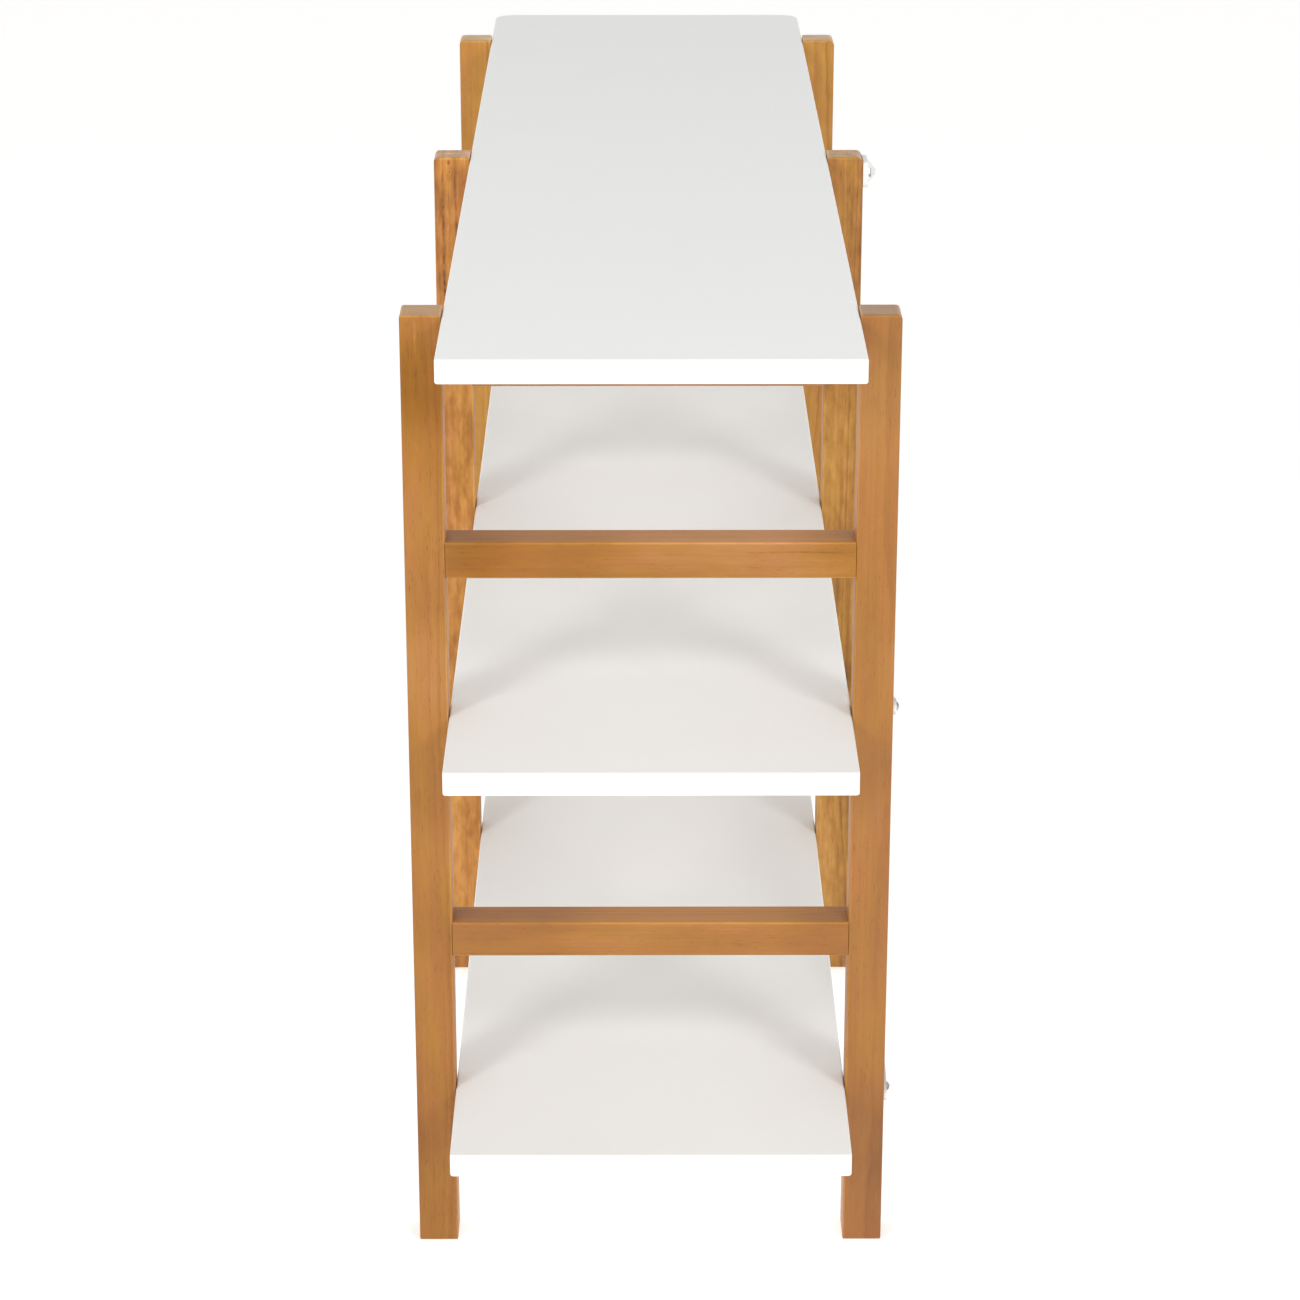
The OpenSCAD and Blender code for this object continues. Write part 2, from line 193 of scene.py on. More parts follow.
# Streaks: how far one wanders, where its full and its last strength lie in half widths, how it fades
# in and out, and how it breaks into beads
WANDER = 0.004
STREAK_CORE = 0.3
STREAK_RIM = 1.3
STREAK_FADE = 0.15
STREAK_FADE_LEAST = 0.004
BEAD_STRENGTH = (0.3, 0.7, 0.35, 1.15)

# Tones: how far their ends wander and over what length they fade
TONE_WANDER = 0.03
TONE_FADE = 0.024

# Rubbed edges, partly a painted highlight: how ragged they are, how deep they reach, how deep the
# sawn ends' colour and painted reflection reach, and over what width the rubbing and highlight come
# in from a post's middle towards the boards
EDGE_RAGGED = 0.0010
EDGE_WEAR_AND_GLINT = (0.0008, 0.0024, 1.0, 0.0)
END_DEPTH = (0.0002, 0.0008, 1.0, 0.0)
INNER_FADE = 0.01

# Each post's own colour beside the others, and the rails'. In the posts of the farther frames it is
# partly painted light, paler to even out how the lamps fall off with depth. The near front post and
# near upper rail mirror less, and their colour makes up the lost reflection as painted reflection
POST_CASTS_AND_LIGHT = {
    "post_front_left": (1.20, 1.33, 1.16),
    "post_front_middle": (1.17, 1.12, 1.01),
    "post_front_right": (1.01, 1.06, 1.62),
    "post_rear_left": (1.13, 1.25, 1.06),
    "post_rear_middle": (1.03, 1.11, 0.93),
    "post_rear_right": (0.925, 0.885, 0.935),
}
RAIL_CAST = (0.925, 0.895, 0.845)
NEAR_RAIL_CAST_AND_REFLECTION = (0.95, 0.98, 1.50)

# How much the edges round the ends and the long edges are rubbed and carry a painted highlight
POST_WEAR_AND_GLINT = (0.8, 0.9)
RAIL_WEAR_AND_GLINT = (0.0, 0.9)

# How strongly the year rings show in the posts of each frame and in the rails, how far beside a
# piece the tree's centre lay, and the mean width of a year ring
POST_FIGURES = (("left", 0.75), ("middle", 1.05), ("right", 0.32))
POST_PITH = (0.045, 0.016)
POST_RING = 0.0046
RAIL_FIGURE = 0.38
RAIL_PITH = (0.05, 0.012)
RAIL_RING = 0.005

# Own marks of single pieces, in metres from the middle of the piece. A knot is (across, along, size,
# how dark).
KNOTS = {"post_front_middle": ((-0.0026, 0.371, 0.0022, 0.45), (-0.0018, 0.363, 0.0009, 0.55))}

# A streak is (across, lowest, highest, half width, how dark), and a negative one is paler
STREAKS = {
    "post_front_middle": (
        (-0.0078, 0.21, 0.375, 0.0014, 0.44),
        (-0.0040, 0.24, 0.372, 0.0010, -0.20),
        (0.0030, 0.22, 0.372, 0.0013, 0.34),
    ),
    "post_rear_middle": (
        (-0.0035, 0.352, 0.366, 0.0008, 0.22),
        (0.004, 0.345, 0.355, 0.0007, 0.26),
        (0.0005, 0.30, 0.374, 0.0009, -0.14),
    ),
    "post_front_right": (
        (-0.004, 0.348, 0.368, 0.0009, -0.16),
        (-0.0035, 0.318, 0.338, 0.0009, 0.14),
    ),
    "rail_upper_right": ((0.006, 0.07, 0.14, 0.0008, 0.22),),
}

# A tone is a length that is darker or paler: (lowest, highest, how dark, how deep). Some are where
# the stain lies thicker or thinner, and some are painted shade, as marked below
TONES_AND_SHADE = {
    "post_rear_middle": ((0.060, 0.170, -0.14, 0),),
    "post_front_right": (
        # The next two: thicker stain just under the top board, darkened also by painted shadow of the
        # board
        (0.295, 0.350, 0.12, 0.60),
        (0.250, 0.365, 0.05, 0.35),
        (0.070, 0.135, -0.13, 0),
        # Painted shadow under the middle board's overhanging end
        (-0.020, 0.050, 0.09, 0),
        (-0.400, -0.050, 0.07, 0),
        (-0.130, -0.080, 0.08, 0),
        # The next two: painted shadow under the bottom board's overhanging end
        (-0.310, -0.220, 0.10, 0),
        (-0.305, -0.260, 0.11, 0),
    ),
    "post_rear_right": (
        # Painted shadow beside the top board
        (0.350, 0.390, 0.09, 0),
        (0.265, 0.340, -0.13, 0),
        (0.140, 0.230, 0.0, 0.3),
        # Painted shadow under the middle board's overhanging end
        (0.005, 0.050, 0.13, 0),
        # Painted shadow under the bottom board's overhanging end
        (-0.320, -0.245, 0.18, 0),
    ),
    "rail_upper_right": (
        # Thicker stain towards both ends, and painted shade at the ends, next to the posts
        (-0.140, -0.100, 0.09, 0.45),
        (-0.150, -0.030, 0.10, 0.35),
        (-0.170, -0.120, 0.05, 0),
        (0.125, 0.170, 0.08, 0.3),
    ),
    "rail_lower_right": (
        # Painted shade at both ends, next to the posts
        (-0.170, -0.060, 0.13, 0.2),
        (0.105, 0.170, 0.16, 0.3),
    ),
}
# Every post is also darker towards its foot
FOOT_TONE = (-0.40, -0.31, 0.10, 0)

# Curly grain in the middle frame's posts, and the tints of the near posts' sawn tops, which are
# partly painted reflection of the sky
CURLS = {"post_front_middle": 0.65, "post_rear_middle": 0.40}
TOP_TINTS_AND_REFLECTION = {"post_front_right": (1.12, 1.20, 1.40, 1), "post_rear_right": (0.86, 0.90, 1.15, 1)}

# The other finishes: colours, what the colour is multiplied by in the duller patches, between which
# values of a noise the colour turns, noises as in the timber, roughness, and depth of relief
BEECH_PALE = (0.66, 0.45, 0.27, 1)
BEECH_DARK = (0.47, 0.29, 0.15, 1)
BEECH_TURN = (0.3, 0.7)
BEECH_FLECK = ((900, 60, 900), 3.0)
BEECH_ROUGHNESS = (0.6, 0.75)
BEECH_DEPTH = 0.0001

LACQUER_COLOUR = (0.892, 0.896, 0.884, 1)
LACQUER_DULL = 0.975
LACQUER_TURN = (0.25, 0.75)
LACQUER_PEEL = ((520, 520, 520), 2.0)
LACQUER_CLOUD = ((9, 9, 9), 3.0)
LACQUER_NIBS = ((900, 900, 900), 0.0)
LACQUER_NIB_START = (0.80, 0.86)
LACQUER_GLOSS = 0.32
LACQUER_ROUGHNESS = 0.41
LACQUER_CLOUD_ROUGHNESS = 0.16
LACQUER_PEEL_ROUGHNESS = 0.06
LACQUER_PEEL_HEIGHT = 0.5
LACQUER_DEPTH = 0.00003

STEEL_COLOUR = (0.80, 0.755, 0.745, 1)
STEEL_DULL = 0.96
STEEL_TURN = (0.3, 0.7)
STEEL_PEEL = ((750, 750, 750), 2.0)
STEEL_CLOUD = ((30, 30, 30), 2.0)
STEEL_ROUGHNESS = (0.38, 0.52)
STEEL_DEPTH = 0.00008

ZINC_COLOUR = (0.42, 0.43, 0.41, 1)
ZINC_DULL = 0.5
ZINC_TURN = (0.40, 0.56)
ZINC_MARKS = ((2600, 500, 2600), 3.0)
ZINC_STAIN = ((240, 240, 240), 2.0)
ZINC_ROUGHNESS = (0.24, 0.42)
ZINC_DEPTH = 0.00002

PLASTIC_COLOUR = (0.79, 0.805, 0.795, 1)
PLASTIC_DULL = 0.97
PLASTIC_TURN = (0.3, 0.7)
PLASTIC_SPARK = ((1800, 1800, 1800), 2.0)
PLASTIC_FLOW = ((60, 60, 60), 2.0)
PLASTIC_ROUGHNESS = (0.42, 0.6)
PLASTIC_DEPTH = 0.00004


class Finish:
    """One material and its nodes. A method that makes a value adds the nodes for it and returns the
    socket to pass on."""

    def __init__(self, name):
        self.material = bpy.data.materials.new(name)
        self.material.use_nodes = True
        self.tree = self.material.node_tree
        self.shader = self.tree.nodes["Principled BSDF"]

    def add(self, kind, **settings):
        node = self.tree.nodes.new("ShaderNode" + kind)
        for name, value in settings.items():
            setattr(node, name, value)
        return node

    def feed(self, socket, value):
        if isinstance(value, bpy.types.NodeSocket):
            self.tree.links.new(value, socket)
        else:
            socket.default_value = value

    def shade(self, name, value):
        self.feed(self.shader.inputs[name], value)

    def place(self):
        return self.add("TexCoord").outputs["Object"]

    def math(self, operation, first, second=0.0):
        node = self.add("Math", operation=operation)
        self.feed(node.inputs[0], first)
        self.feed(node.inputs[1], second)
        return node.outputs[0]

    def product(self, first, second):
        return self.math("MULTIPLY", first, second)

    def total(self, *values):
        result = values[0]
        for value in values[1:]:
            result = self.math("ADD", result, value)
        return result

    def length(self, first, second):
        return self.math("SQRT", self.total(self.product(first, first), self.product(second, second)))

    def centred(self, value, reach):
        """A noise turned to swing by half of reach either way round 0."""
        return self.product(self.math("SUBTRACT", value, 0.5), reach)

    def times(self, first, second):
        node = self.add("VectorMath", operation="MULTIPLY")
        self.feed(node.inputs[0], first)
        self.feed(node.inputs[1], second)
        return node.outputs[0]

    def shift(self, vector, offset):
        node = self.add("VectorMath", operation="ADD")
        self.feed(node.inputs[0], vector)
        node.inputs[1].default_value = offset
        return node.outputs[0]

    def parts(self, vector):
        node = self.add("SeparateXYZ")
        self.feed(node.inputs[0], vector)
        return node.outputs[0], node.outputs[1], node.outputs[2]

    def joined(self, *values):
        node = self.add("CombineXYZ")
        for socket, value in zip(node.inputs, values):
            self.feed(socket, value)
        return node.outputs[0]

    def noise(self, vector, scale, detail=2.0, roughness=0.5):
        node = self.add("TexNoise")
        self.feed(node.inputs["Vector"], self.times(vector, scale))
        node.inputs["Scale"].default_value = 1.0
        node.inputs["Detail"].default_value = detail
        node.inputs["Roughness"].default_value = roughness
        return node.outputs["Fac"]

    def noise_1d(self, value, seed):
        node = self.add("TexNoise", noise_dimensions="1D")
        self.feed(node.inputs["W"], self.math("ADD", value, seed * UNEVEN_SEED_STEP))
        node.inputs["Scale"].default_value = 1.0
        node.inputs["Detail"].default_value = 1.0
        return node.outputs["Fac"]

    def white_noise(self, value):
        node = self.add("TexWhiteNoise", noise_dimensions="1D")
        self.feed(node.inputs["W"], value)
        return node.outputs["Value"]

    def span(self, value, low, high, start=0.0, end=1.0):
        """Falls or rises smoothly from start at low to end at high."""
        node = self.add("MapRange", interpolation_type="SMOOTHSTEP")
        self.feed(node.inputs["Value"], value)
        node.inputs["From Min"].default_value = low
        node.inputs["From Max"].default_value = high
        node.inputs["To Min"].default_value = start
        node.inputs["To Max"].default_value = end
        return node.outputs["Result"]

    def ramp(self, factor, stops):
        node = self.add("ValToRGB")
        self.feed(node.inputs["Fac"], factor)
        band = node.color_ramp
        while len(band.elements) < len(stops):
            band.elements.new(0.5)
        for element, (position, colour) in zip(band.elements, stops):
            element.position = position
            element.color = colour
        return node.outputs["Color"]

    def blend(self, factor, turn, first, second):
        """Turns from the first colour to the second one between the two values in turn."""
        return self.ramp(factor, ((turn[0], first), (turn[1], second)))

    def curve_of(self, value, points):
        stops = [(place, (level, level, level, 1)) for place, level in points]
        return self.ramp(value, stops)

    def tinted(self, colour, amount, tint):
        """The colour, multiplied by the tint where amount is 1."""
        return self.times(colour, self.ramp(amount, ((0.0, WHITE), (1.0, tint))))

    def bump(self, height, depth):
        node = self.add("Bump")
        self.feed(node.inputs["Height"], height)
        node.inputs["Distance"].default_value = depth
        node.inputs["Strength"].default_value = 1.0
        self.feed(self.shader.inputs["Normal"], node.outputs["Normal"])


def scaled(colour, share):
    """The colour made darker by a share, with its alpha kept at 1."""
    return tuple(part * share for part in colour[:3]) + (1,)


def grain_space(finish, node, axis):
    """The place in a timber piece, from its middle, turned so that Z runs along the grain, and
    half of the piece's size along the same axes."""
    low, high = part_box(node)
    x, y, z = finish.parts(finish.shift(finish.place(), -(low + high) / 2))
    half = (high - low) / 2
    if axis == 2:
        return finish.joined(x, y, z), (half.x, half.y, half.z)
    return finish.joined(x, z, y), (half.x, half.z, half.y)


def edge_depths(finish, split, half):
    """How deep a point lies under the piece's ends, under the edges round its ends and under its
    long edges."""
    x, y, z = [
        finish.math("SUBTRACT", reach, finish.math("ABSOLUTE", socket))
        for socket, reach in zip(split, half)
    ]
    end_edge = finish.math("MAXIMUM", z, finish.math("MINIMUM", x, y))
    return z, end_edge, finish.math("MAXIMUM", x, y)


def edge_wear_and_glint(finish, depth, breakup):
    """Varnish rubbed thin, with a painted highlight: 1 on the edge itself, falling to 0 a
    little way in.
    """
    ragged = finish.math("ADD", depth, finish.product(breakup, EDGE_RAGGED))
    return finish.span(ragged, *EDGE_WEAR_AND_GLINT)


def worn_and_glinting_edges(finish, moved, split, half, wear_and_glint, inner):
    """How rubbed a point is, with the painted highlight that goes with it, and how much it belongs to a
    sawn end, whose colour is partly a painted reflection. inner is 1 or -1 where only the long edges
    on that side are rubbed and highlighted, and 0 where all are."""
    breakup = finish.noise(moved, *EDGE_BREAKUP)
    end, end_edge, long_edge = edge_depths(finish, split, half)
    long_wear_and_glint = finish.product(edge_wear_and_glint(finish, long_edge, breakup), wear_and_glint[1])
    if inner:
        long_wear_and_glint = finish.product(long_wear_and_glint, finish.span(split[1], 0.0, inner * INNER_FADE))
    end_wear_and_glint = finish.product(edge_wear_and_glint(finish, end_edge, breakup), wear_and_glint[0])
    return finish.math("MAXIMUM", long_wear_and_glint, end_wear_and_glint), finish.span(end, *END_DEPTH)


def from_knot(finish, split, knot, stretch):
    """How many knot sizes away from a knot a point lies, with the knot drawn out along the grain."""
    across, along, size, _ = knot
    a = finish.math("DIVIDE", finish.math("SUBTRACT", split[1], across), size)
    b = finish.math("DIVIDE", finish.math("SUBTRACT", split[2], along), size * stretch)
    return finish.length(a, b)


def year_rings(finish, moved, split, pith, ring, seed, knots):
    """Late wood of the year rings, 0 to 1, and the rings' distance from the pith."""
    sway = finish.centred(finish.noise(moved, *SWAY), SWAY_REACH)
    ripple = finish.centred(finish.noise(moved, *RIPPLE), RIPPLE_REACH)
    dx = finish.math("SUBTRACT", split[0], pith[0])
    dy = finish.math("SUBTRACT", split[1], pith[1])
    radius = finish.total(finish.length(dx, dy), sway, ripple)
    for knot in knots:
        away = from_knot(finish, split, knot, BEND_LENGTH)
        bulge = finish.span(away, 0.0, BEND_REACH, knot[2] * BEND_LIFT, 0.0)
        radius = finish.math("ADD", radius, bulge)
    uneven = finish.centred(finish.noise_1d(finish.product(radius, UNEVEN_TURNS), seed), UNEVEN_REACH)
    turns = finish.math("ADD", finish.math("DIVIDE", radius, ring), uneven)
    own = finish.white_noise(finish.math("ADD", finish.math("FLOOR", turns), seed * RING_SEED_STEP))
    late = finish.curve_of(finish.math("FRACT", turns), LATE_WOOD)
    return finish.product(late, finish.span(own, *RING_STRENGTH)), radius


def knot_marks(finish, split, knots):
    """How dark each knot's heart and how pale the wood round it is."""
    mark = 0.0
    for knot in knots:
        dark = knot[3]
        away = from_knot(finish, split, knot, HEART_LENGTH)
        heart = finish.span(away, *HEART, dark, 0.0)
        halo = finish.span(away, *HALO, HALO_SHADE * dark, 0.0)
        mark = finish.total(heart, halo, mark)
    return mark


def streak_marks(finish, moved, split, streaks):
    """Streaks of darker or paler wood."""
    mark = 0.0
    if not streaks:
        return mark
    beads = finish.noise(moved, *BEADS)
    drift = finish.centred(finish.noise(moved, *STREAK_DRIFT), WANDER)
    for across, lowest, highest, width, strength in streaks:
        side = finish.math("ABSOLUTE", finish.total(finish.math("SUBTRACT", split[1], across), drift))
        band = finish.span(side, width * STREAK_CORE, width * STREAK_RIM, strength, 0.0)
        fade = (highest - lowest) * STREAK_FADE + STREAK_FADE_LEAST
        start = finish.span(split[2], lowest - fade, lowest + fade)
        end = finish.span(split[2], highest - fade, highest + fade, 1.0, 0.0)
        band = finish.product(finish.product(band, start), end)
        band = finish.product(band, finish.span(beads, *BEAD_STRENGTH))
        mark = finish.math("ADD", mark, band)
    return mark


def tone_and_shade_marks(finish, moved, along, tones_and_shade):
    """How much darker the piece is, and how deep the stain is, over the lengths that tones gives. The
    darkness is thicker or thinner stain in some lengths and painted shade in others.
    """
    dark = 0.0
    deep = 0.0
    if not tones_and_shade:
        return dark, deep
    drift = finish.centred(finish.noise(moved, *TONE_DRIFT), TONE_WANDER)
    place = finish.math("ADD", along, drift)
    for lowest, highest, darkness, depth in tones_and_shade:
        start = finish.span(place, lowest - TONE_FADE, lowest + TONE_FADE)
        end = finish.span(place, highest - TONE_FADE, highest + TONE_FADE, 1.0, 0.0)
        band = finish.product(start, end)
        dark = finish.math("ADD", dark, finish.product(band, darkness))
        if depth:
            deep = finish.math("ADD", deep, finish.product(band, depth))
    return dark, deep


def pore_marks(finish, moved, patch, figure):
    """Fine pores, crowded in some patches."""
    dots = finish.noise(moved, *DOTS)
    crowd = finish.span(patch, *PORE_CROWD)
    return finish.span(finish.math("SUBTRACT", dots, crowd), PORE_START - PORE_FIGURE * figure, PORE_END)


def timber(node, axis, pith, ring, seed, figure, cast_and_light, wear_and_glint, inner=0,
           knots=(), streaks=(), tones_and_shade=(), curl=0.0, top=WHITE):
    """Honey-stained timber under a satin varnish, for one piece with its grain along axis. pith is
    where the tree's centre lay beside the piece, ring the mean width of a year ring, figure how
    strongly the rings show and cast the piece's own colour, which in the farther posts is partly
    painted light and in the two near pieces that mirror less partly painted reflection. wear says how
    much the edges round the ends and the long edges are rubbed and carry a painted highlight, and
    inner which way the boards lie, because a post's long edges are marked only on that side. knots
    and streaks are the piece's own marks, and tones are lengths of thicker or thinner stain and of
    painted shade. curl is how curly its grain is and top tints its sawn ends, whose colour is partly
    a painted reflection."""
    finish = Finish(f"timber_{node}")
    place, half = grain_space(finish, node, axis)
    moved = finish.shift(place, tuple(seed * step for step in SEED_STEP))
    split = finish.parts(place)

    late, radius = year_rings(finish, moved, split, pith, ring, seed, knots)
    bands = finish.noise(finish.joined(radius, 0.0, finish.product(split[2], BANDS_ALONG)), *BANDS)
    fibre = finish.noise(moved, *FIBRE)
    patch = finish.noise(moved, *PATCH)
    pores = pore_marks(finish, moved, patch, figure)
    worn_and_glint, end_grain_and_reflection = worn_and_glinting_edges(finish, moved, split, half, wear_and_glint, inner)
    # Darker and paler lengths: thicker or thinner stain, and painted shade under the boards and next to
    # the posts
    dark, deep = tone_and_shade_marks(finish, moved, split[2], tones_and_shade)

    shares = {name: share + more * figure for name, (share, more) in SHADES.items()}
    shade = finish.total(
        finish.product(late, shares["late"]),
        finish.centred(bands, shares["bands"]),
        finish.centred(finish.noise(moved, *STREAK), shares["streak"]),
        finish.centred(fibre, shares["fibre"]),
        finish.centred(patch, shares["patch"]),
        finish.centred(finish.noise(moved, *CLOUD), shares["cloud"]),
        finish.centred(finish.noise(moved, *MOTTLE), shares["mottle"] + curl),
        knot_marks(finish, split, knots),
        streak_marks(finish, moved, split, streaks),
        dark,
        shares["whole"],
    )
    tint = finish.ramp(finish.noise(moved, *HUE), TINT_STOPS)
    # The piece's cast is partly painted light in the farther posts, and painted reflection in the two
    # near pieces that mirror less
    colour = finish.times(finish.times(finish.ramp(shade, TIMBER_STOPS), tint), cast_and_light)
    colour = finish.tinted(colour, pores, PORE_SHADE)
    # Rubbed edges, partly a painted highlight
    colour = finish.tinted(colour, worn_and_glint, RUBBED_AND_GLINT)
    # Sawn ends, whose colour is partly a painted reflection of the sky
    sawn_and_reflection = tuple(first * second for first, second in zip(END_GRAIN_AND_REFLECTION, top))
    colour = finish.tinted(colour, end_grain_and_reflection, sawn_and_reflection)
    if any(depth for *_, depth in tones_and_shade):
        colour = finish.tinted(colour, deep, DEEP_STAIN)
    finish.shade("Base Color", colour)

    finish.shade("Sheen Weight", SHEEN)
    finish.shade("Sheen Roughness", SHEEN_ROUGHNESS)
    finish.shade("Sheen Tint", SHEEN_TINT)
    finish.shade("Specular IOR Level", GLOSS_LOW if node in LOW_GLOSS_PIECES else GLOSS)

    roughness = finish.total(
        finish.product(fibre, FIBRE_ROUGHNESS),
        finish.product(pores, PORE_ROUGHNESS),
        finish.centred(patch, PATCH_ROUGHNESS),
        VARNISH_ROUGHNESS,
    )
    finish.shade("Roughness", roughness)
    height = finish.total(
        finish.product(fibre, FIBRE_HEIGHT),
        finish.product(pores, PORE_HEIGHT),
        finish.product(late, RING_HEIGHT),
    )
    finish.bump(height, GRAIN_DEPTH)
    return finish.material


def beech(name):
    """Plain beech dowels, hidden in the joints."""
    finish = Finish(name)
    fleck = finish.noise(finish.place(), *BEECH_FLECK)
    finish.shade("Base Color", finish.blend(fleck, BEECH_TURN, BEECH_PALE, BEECH_DARK))
    finish.shade("Roughness", finish.span(fleck, *NOISE_SPAN, *BEECH_ROUGHNESS))
    finish.bump(fleck, BEECH_DEPTH)
    return finish.material


def lacquer(name):
    """White sprayed lacquer on board, nearly matt: a faint orange peel with a few nibs, and patches
    that are a little duller."""
    finish = Finish(name)
    place = finish.place()
    peel = finish.noise(place, *LACQUER_PEEL)
    cloud = finish.noise(place, *LACQUER_CLOUD)
    nibs = finish.span(finish.noise(place, *LACQUER_NIBS), *LACQUER_NIB_START)
    dull = scaled(LACQUER_COLOUR, LACQUER_DULL)
    finish.shade("Base Color", finish.blend(cloud, LACQUER_TURN, dull, LACQUER_COLOUR))
    finish.shade("Specular IOR Level", LACQUER_GLOSS)
    roughness = finish.total(
        finish.product(cloud, LACQUER_CLOUD_ROUGHNESS),
        finish.product(peel, LACQUER_PEEL_ROUGHNESS),
        LACQUER_ROUGHNESS,
    )
    finish.shade("Roughness", roughness)
    finish.bump(finish.math("ADD", finish.product(peel, LACQUER_PEEL_HEIGHT), nibs), LACQUER_DEPTH)
    return finish.material


def steel_paint(name):
    """White powder coat on the flat bars and angles."""
    finish = Finish(name)
    place = finish.place()
    peel = finish.noise(place, *STEEL_PEEL)
    cloud = finish.noise(place, *STEEL_CLOUD)
    dull = scaled(STEEL_COLOUR, STEEL_DULL)
    finish.shade("Base Color", finish.blend(cloud, STEEL_TURN, dull, STEEL_COLOUR))
    finish.shade("Roughness", finish.span(peel, *NOISE_SPAN, *STEEL_ROUGHNESS))
    finish.bump(peel, STEEL_DEPTH)
    return finish.material


def zinc(name):
    """Zinc-plated screws, with fine rolling marks."""
    finish = Finish(name)
    place = finish.place()
    marks = finish.noise(place, *ZINC_MARKS)
    stain = finish.noise(place, *ZINC_STAIN)
    dull = scaled(ZINC_COLOUR, ZINC_DULL)
    finish.shade("Base Color", finish.blend(stain, ZINC_TURN, dull, ZINC_COLOUR))
    finish.shade("Metallic", 1.0)
    finish.shade("Roughness", finish.span(marks, *NOISE_SPAN, *ZINC_ROUGHNESS))
    finish.bump(marks, ZINC_DEPTH)
    return finish.material


def moulded_plastic(name):
    """Matt white moulded plastic with a fine spark-eroded texture."""
    finish = Finish(name)
    place = finish.place()
    spark = finish.noise(place, *PLASTIC_SPARK)
    flow = finish.noise(place, *PLASTIC_FLOW)
    dull = scaled(PLASTIC_COLOUR, PLASTIC_DULL)
    finish.shade("Base Color", finish.blend(flow, PLASTIC_TURN, dull, PLASTIC_COLOUR))
    finish.shade("Roughness", finish.span(spark, *NOISE_SPAN, *PLASTIC_ROUGHNESS))
    finish.bump(spark, PLASTIC_DEPTH)
    return finish.material


def dress(node, material):
    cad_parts[node].data.materials[0] = material


def dress_timber():
    """Posts first, then rails. Their number is the seed of the grain, and its parity says to which
    side of the piece the tree's centre lay."""
    number = 0
    for row, inner in (("front", 1), ("rear", -1)):
        for side, figure in POST_FIGURES:
            number += 1
            node = f"post_{row}_{side}"
            pith = (POST_PITH[0], POST_PITH[1] * (-1) ** number)
            dress(node, timber(
                node, 2, pith, POST_RING, number, figure, POST_CASTS_AND_LIGHT[node], POST_WEAR_AND_GLINT, inner,
                KNOTS.get(node, ()), STREAKS.get(node, ()), TONES_AND_SHADE.get(node, ()) + (FOOT_TONE,),
                CURLS.get(node, 0.0), TOP_TINTS_AND_REFLECTION.get(node, WHITE)
            ))
    for level in ("upper", "lower"):
        for side in ("left", "middle", "right"):
            number += 1
            node = f"rail_{level}_{side}"
            pith = (RAIL_PITH[0], RAIL_PITH[1] * (-1) ** number)
            cast_and_light = NEAR_RAIL_CAST_AND_REFLECTION if node == "rail_upper_right" else RAIL_CAST
            dress(node, timber(
                node, 1, pith, RAIL_RING, number, RAIL_FIGURE, cast_and_light, RAIL_WEAR_AND_GLINT,
                streaks=STREAKS.get(node, ()), tones_and_shade=TONES_AND_SHADE.get(node, ())
            ))


def dress_others():
    white = lacquer("board_lacquer")
    paint = steel_paint("steel_paint")
    screws = zinc("zinc_plate")
    dowels = beech("beech")
    for level in ("top", "middle", "bottom"):
        dress(f"board_{level}", white)
        dress(f"brackets_{level}", paint)
        dress(f"bracket_screws_{level}", screws)
    for side in ("left", "middle", "right"):
        dress(f"rail_dowels_{side}", dowels)
    dress("brace_bar_straight", paint)
    dress("brace_bar_cranked", paint)
    dress("brace_screws", screws)
    dress("wall_anchor_screws", screws)
    dress("wall_anchor", moulded_plastic("moulded_plastic"))


def make_camera():
    data = bpy.data.cameras.new("camera")
    data.lens = CAMERA_LENS
    data.sensor_width = SENSOR_WIDTH
    data.shift_x, data.shift_y = CAMERA_SHIFT
    camera = bpy.data.objects.new("camera", data)
    pitch = math.radians(CAMERA_PITCH)
    yaw = math.radians(CAMERA_YAW)
    right = Vector((math.sin(yaw), math.cos(yaw), 0))
    flat = Vector((-math.cos(yaw), math.sin(yaw), 0))
    forward = flat * math.cos(pitch) - Vector((0, 0, math.sin(pitch)))
    up = flat * math.sin(pitch) + Vector((0, 0, math.cos(pitch)))
    turn = Matrix((right, up, -forward)).transposed()
    camera.matrix_world = Matrix.Translation(CAMERA_PLACE) @ turn.to_4x4()
    bpy.context.scene.collection.objects.link(camera)
    bpy.context.scene.camera = camera


def make_floor():
    mesh = bpy.data.meshes.new("floor")
    shape = bmesh.new()
    bmesh.ops.create_grid(shape, x_segments=4, y_segments=4, size=FLOOR_REACH)
    shape.to_mesh(mesh)
    shape.free()
    floor = bpy.data.objects.new("floor", mesh)
    finish = Finish("floor_paper")
    fine = finish.noise(finish.place(), *FLOOR_GRAIN)
    finish.shade("Base Color", FLOOR_COLOUR)
    finish.shade("Roughness", finish.span(fine, *NOISE_SPAN, *FLOOR_ROUGHNESS))
    finish.shade("Specular IOR Level", FLOOR_GLOSS)
    finish.shade("Emission Color", FLOOR_COLOUR)
    x, y, _ = finish.parts(finish.place())
    beside = finish.span(finish.math("ABSOLUTE", y), *SWEEP_SIDE, 1.0, 0.0)
    along = finish.span(x, *SWEEP_CAMERA_SIDE, 1.0, 0.0)
    on_sweep = finish.product(beside, along)
    glow = finish.span(on_sweep, 0.0, 1.0, FLOOR_GLOW_ASIDE, FLOOR_GLOW)
    finish.shade("Emission Strength", glow)
    mesh.materials.append(finish.material)
    bpy.context.scene.collection.objects.link(floor)


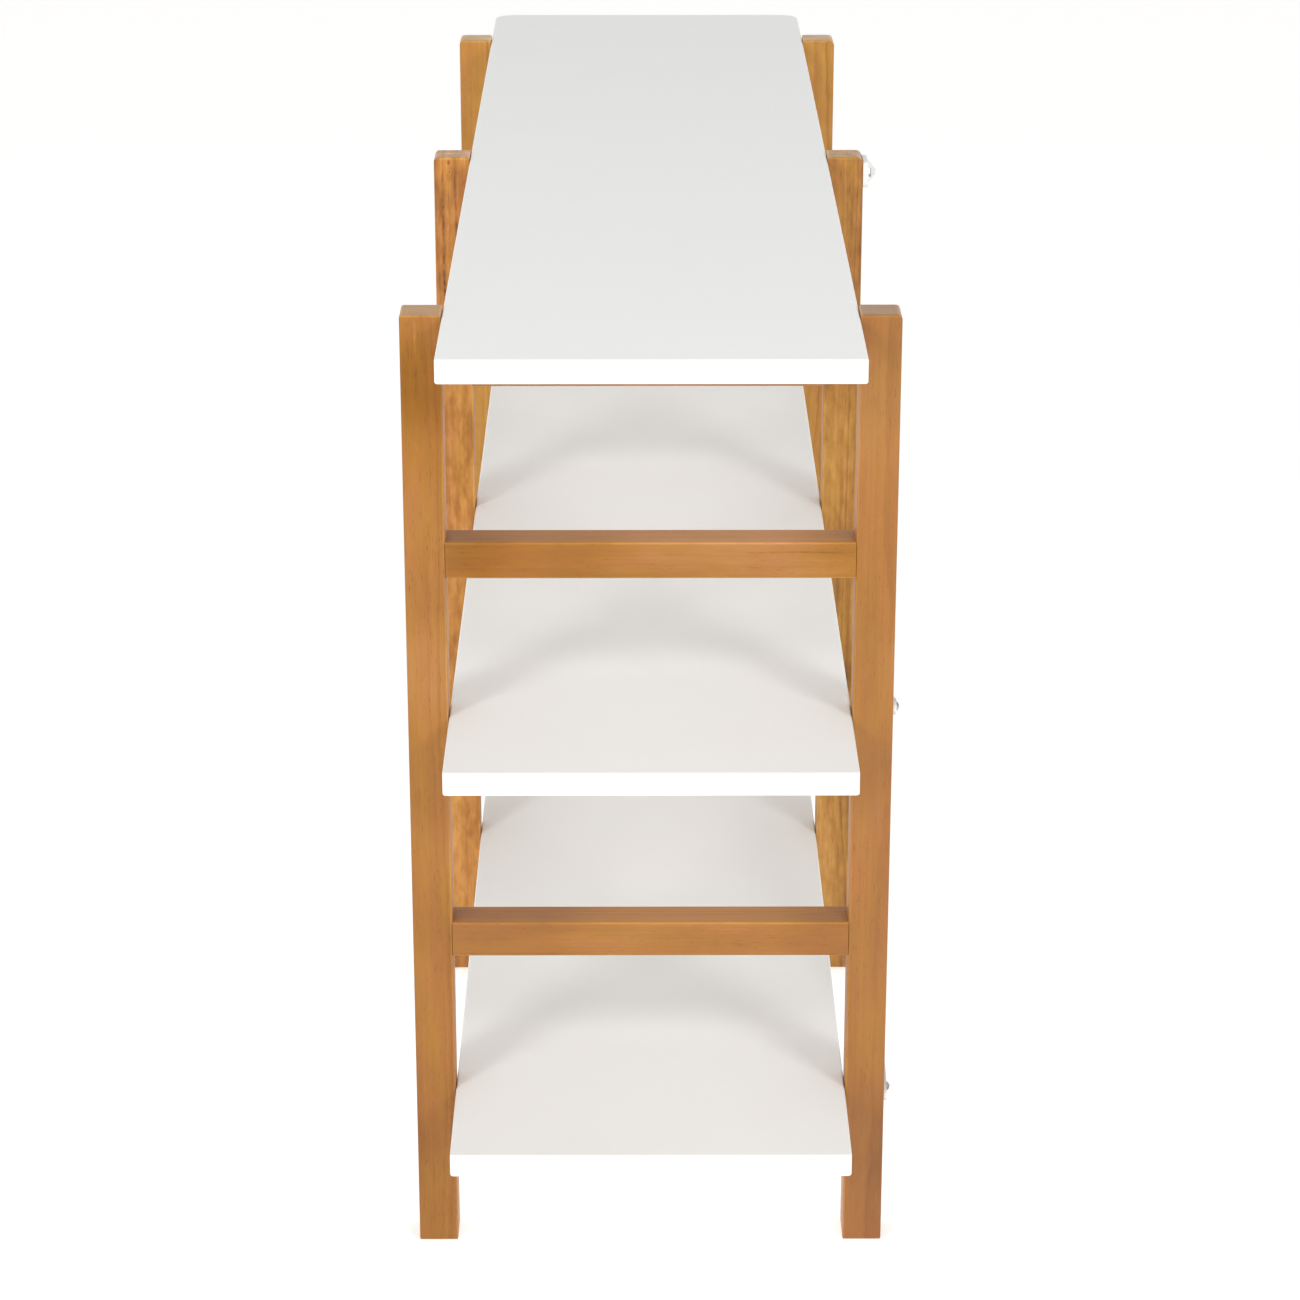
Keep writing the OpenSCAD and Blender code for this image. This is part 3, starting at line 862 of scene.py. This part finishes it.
def make_lights():
    centre = Vector((0, 0, (cad_low.z + cad_high.z) / 2))
    for side in SOFTBOX_SIDES:
        data = bpy.data.lights.new("softbox", "AREA")
        data.shape = "RECTANGLE"
        data.size, data.size_y = SOFTBOX_SIZE
        data.energy = SOFTBOX_POWER
        lamp = bpy.data.objects.new("softbox", data)
        lamp.location = (SOFTBOX_PLACE[0], side * SOFTBOX_PLACE[1], SOFTBOX_PLACE[2])
        lamp.rotation_euler = (centre - lamp.location).to_track_quat("-Z", "Y").to_euler()
        bpy.context.scene.collection.objects.link(lamp)
    bpy.context.scene.world = make_surround()
    bpy.context.scene.view_settings.view_transform = "Standard"


def make_surround():
    """Even light from all sides, dimmer overhead, with more from low down behind the unit and low
    down on the camera's side."""
    world = bpy.data.worlds.new("surround")
    world.use_nodes = True
    nodes = world.node_tree.nodes
    links = world.node_tree.links

    def between(socket, turn, start, end):
        node = nodes.new("ShaderNodeMapRange")
        node.interpolation_type = "SMOOTHSTEP"
        node.inputs["From Min"].default_value = turn[0]
        node.inputs["From Max"].default_value = turn[1]
        node.inputs["To Min"].default_value = start
        node.inputs["To Max"].default_value = end
        links.new(socket, node.inputs["Value"])
        return node.outputs["Result"]

    def combined(operation, first, second):
        node = nodes.new("ShaderNodeMath")
        node.operation = operation
        links.new(first, node.inputs[0])
        links.new(second, node.inputs[1])
        return node.outputs[0]

    split = nodes.new("ShaderNodeSeparateXYZ")
    links.new(nodes.new("ShaderNodeTexCoord").outputs["Generated"], split.inputs[0])
    height = split.outputs["Z"]
    surround = between(height, SURROUND_TURN, SURROUND_LOW, SURROUND_HIGH)
    behind = between(split.outputs["X"], BACKDROP_TURN, BACKDROP_LIFT, 0)
    ahead = between(split.outputs["X"], CAMERA_SIDE_TURN, 0, CAMERA_SIDE_LIFT)
    low_down = between(height, LIFT_TURN, 1, 0)
    lift = combined("MULTIPLY", combined("ADD", behind, ahead), low_down)
    light = nodes["Background"]
    links.new(combined("ADD", surround, lift), light.inputs["Strength"])
    light.inputs["Color"].default_value = (*SURROUND_COLOUR, 1)
    return world


make_camera()
make_floor()
make_lights()
dress_timber()
dress_others()
